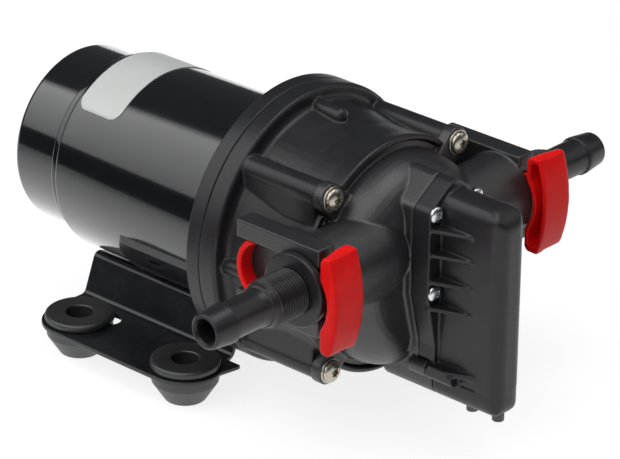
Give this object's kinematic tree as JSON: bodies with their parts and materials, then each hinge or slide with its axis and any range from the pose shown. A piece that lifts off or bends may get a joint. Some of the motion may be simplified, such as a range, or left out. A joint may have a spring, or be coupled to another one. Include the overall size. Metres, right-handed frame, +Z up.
{
  "type": "caravan water pump",
  "caption": "Motor driven diaphragm water pump with a round drive housing, clip-in hose fittings, a pressure switch and a sheet bracket on rubber feet.",
  "frame": {"origin": "middle of the four foot holes, on the floor under the bracket", "axes": "+X along the motor axis from the motor to the pump head, +Y towards the outlet, +Z up"},
  "size_m": [0.2135, 0.2074, 0.1165],
  "materials": {
    "black_paint": "gloss black paint on steel",
    "label_film": "bare pale label film",
    "ferrite": "dull grey ferrite",
    "bronze": "plain bronze",
    "card": "brown laminate",
    "carbon": "dull carbon",
    "spring_steel": "drawn wire",
    "black_moulding": "satin black moulding with a fine grain",
    "fastener_steel": "plated steel",
    "ground_steel": "ground steel",
    "core_steel": "stacked laminations",
    "copper": "copper",
    "grey_moulding": "grey moulding",
    "black_rubber": "matte black rubber",
    "valve_rubber": "brown rubber",
    "warm_steel": "warm stainless steel",
    "red_moulding": "satin red moulding",
    "bright_steel": "bright plated steel",
    "pale_moulding": "natural moulding",
    "blue_moulding": "dark blue moulding"
  },
  "bodies": {
    "pump": {"motor_can": "black_paint", "flux_sleeve": "black_paint", "trim_ring": "black_paint", "motor_label": "label_film", "field_magnets": "ferrite", "rear_bush": "bronze", "brush_card": "card", "carbon_brushes": "carbon", "brush_springs": "spring_steel", "end_bell": "black_moulding", "flange_screws": "fastener_steel", "front_bearing_outer": "ground_steel", "drive_housing": "black_moulding", "diaphragm": "black_rubber", "valve_plate": "grey_moulding", "inlet_valves": "valve_rubber", "outlet_valve": "valve_rubber", "head_seal": "black_rubber", "port_housing": "black_moulding", "head_screws": "warm_steel", "head_washers": "warm_steel", "switch_diaphragm": "black_rubber", "cover_gasket": "black_rubber", "switch_cover": "black_moulding", "cover_screws": "bright_steel", "plunger_spring": "spring_steel", "microswitch_body": "blue_moulding", "microswitch_terminals": "bronze", "lead_bushes": "black_rubber", "base_bracket": "black_paint", "motor_saddle": "black_paint", "foot_front_near": "black_rubber", "foot_front_far": "black_rubber", "foot_rear_near": "black_rubber", "foot_rear_far": "black_rubber"},
    "rotor": {"rotor_shaft": "ground_steel", "armature_core": "core_steel", "armature_windings": "copper", "commutator": "copper", "front_bearing_inner": "ground_steel", "front_bearing_balls": "ground_steel", "wobble_cam": "ground_steel", "wobble_bearing_inner": "ground_steel"},
    "wobble": {"wobble_bearing_outer": "ground_steel", "wobble_bearing_balls": "ground_steel", "wobble_plate": "grey_moulding", "piston_1": "grey_moulding", "piston_2": "grey_moulding", "piston_3": "grey_moulding", "piston_4": "grey_moulding", "piston_screws": "fastener_steel"},
    "inlet": {"inlet_fitting": "black_moulding", "inlet_o_ring": "black_rubber"},
    "outlet": {"outlet_fitting": "black_moulding", "outlet_o_ring": "black_rubber"},
    "inlet_lock": {"inlet_clip": "red_moulding"},
    "outlet_lock": {"outlet_clip": "red_moulding"},
    "plunger": {"switch_plunger": "pale_moulding"},
    "button": {"microswitch_button": "red_moulding"}
  },
  "joints": [
    {"name": "rotor_spin", "type": "hinge", "parent": "pump", "child": "rotor", "pos_m": [0.0388, 0, 0.064], "axis": [1, 0, 0], "continuous": true, "deforming": ["diaphragm"]},
    {"name": "wobble_spin", "type": "hinge", "parent": "rotor", "child": "wobble", "pos_m": [0.0758, 0, 0.064], "axis": [0.9986, 0, 0.0523], "continuous": true, "deforming": ["diaphragm"]},
    {"name": "inlet_swivel", "type": "hinge", "parent": "pump", "child": "inlet", "pos_m": [0.09755, -0.06, 0.074], "axis": [0, -1, 0], "continuous": true},
    {"name": "outlet_swivel", "type": "hinge", "parent": "pump", "child": "outlet", "pos_m": [0.09755, 0.06, 0.074], "axis": [0, 1, 0], "continuous": true},
    {"name": "inlet_clip_slide", "type": "slide", "parent": "pump", "child": "inlet_lock", "axis": [1, 0, 0], "range_m": [0, 0.012]},
    {"name": "outlet_clip_slide", "type": "slide", "parent": "pump", "child": "outlet_lock", "axis": [1, 0, 0], "range_m": [0, 0.012]},
    {"name": "plunger_slide", "type": "slide", "parent": "pump", "child": "plunger", "axis": [1, 0, 0], "range_m": [0, 0.0008], "stiffness_N_per_m": 2000, "springref_m": -0.002, "deforming": ["plunger_spring"]},
    {"name": "button_slide", "type": "slide", "parent": "pump", "child": "button", "axis": [1, 0, 0], "range_m": [0, 0.0008]}
  ],
  "couplings": [
    {"joint": "wobble_spin", "follows": "rotor_spin", "ratio": -1},
    {"joint": "button_slide", "follows": "plunger_slide", "ratio": 1}
  ]
}
